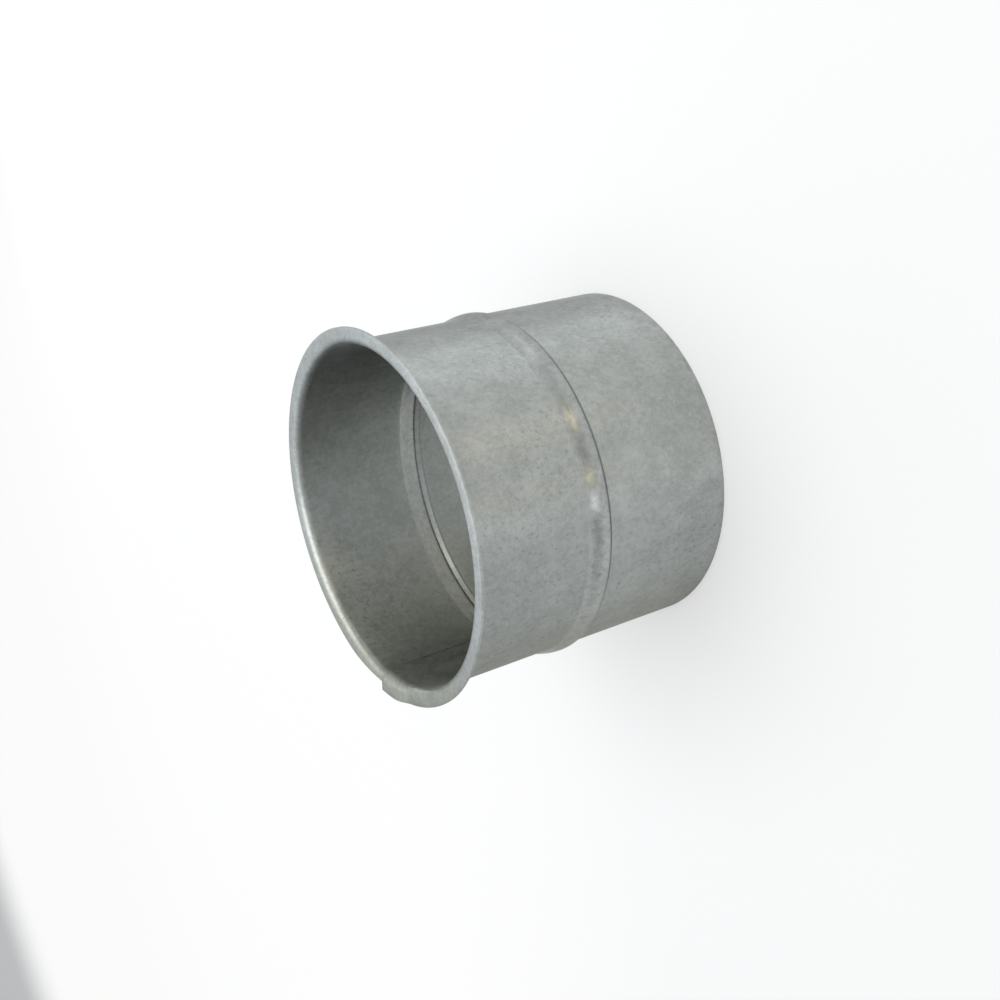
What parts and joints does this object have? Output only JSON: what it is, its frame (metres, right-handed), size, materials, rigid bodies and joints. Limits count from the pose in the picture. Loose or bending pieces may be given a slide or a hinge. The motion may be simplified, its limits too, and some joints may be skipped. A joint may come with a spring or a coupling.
{
  "type": "wall sleeve",
  "caption": "Short galvanised sheet-metal sleeve with a flanged rim and a stop bead, let into a wall to take the end of a round flue pipe.",
  "frame": {"origin": "centre of the plain end, in the plane of its sheared edge", "axes": "+Z along the axis of the tube towards the flanged rim; the lapped seam lies on the -X side"},
  "size_m": [0.1367, 0.136, 0.1065],
  "materials": {
    "galvanised_sheet": "dull galvanised, fine mottling, burnished bead"
  },
  "bodies": {
    "root": {"sleeve": "galvanised_sheet"}
  },
  "joints": []
}
